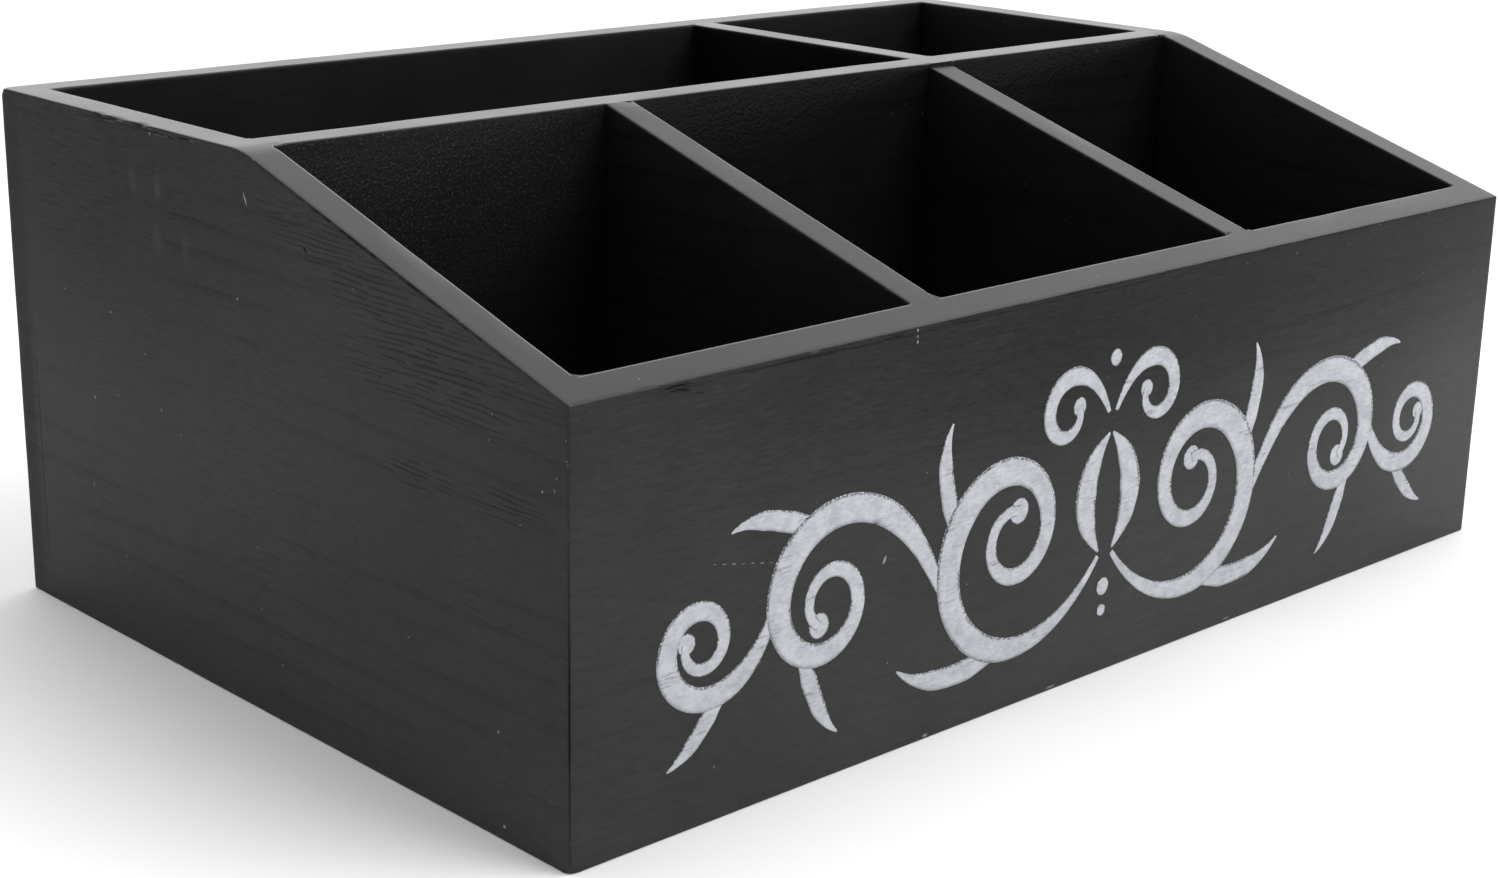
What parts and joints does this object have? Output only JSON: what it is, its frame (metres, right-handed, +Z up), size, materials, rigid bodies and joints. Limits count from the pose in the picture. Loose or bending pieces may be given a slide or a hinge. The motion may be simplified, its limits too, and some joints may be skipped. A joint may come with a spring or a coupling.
{
  "type": "coffee station organizer",
  "caption": "Open black wooden countertop box with sloping sides, a low front and compartments at two depths for coffee supplies.",
  "frame": {"origin": "on the ground under the middle of the box", "axes": "+X along the front from left to right as seen from before it, +Y towards the back, +Z up"},
  "size_m": [0.38, 0.252, 0.15],
  "materials": {
    "painted_wood": "satin black paint over sanded solid wood",
    "brad_steel": "galvanized wire",
    "filler": "wood filler sanded flush and painted black"
  },
  "bodies": {
    "root": {"front_panel": "painted_wood", "back_panel": "painted_wood", "left_side_panel": "painted_wood", "right_side_panel": "painted_wood", "bottom_panel": "painted_wood", "middle_divider": "painted_wood", "rear_divider": "painted_wood", "left_front_divider": "painted_wood", "right_front_divider": "painted_wood", "front_panel_brads": "brad_steel", "back_panel_brads": "brad_steel", "bottom_panel_brads": "brad_steel", "middle_divider_brads": "brad_steel", "rear_divider_brads": "brad_steel", "front_divider_brads": "brad_steel", "filler_plugs": "filler"}
  },
  "joints": []
}
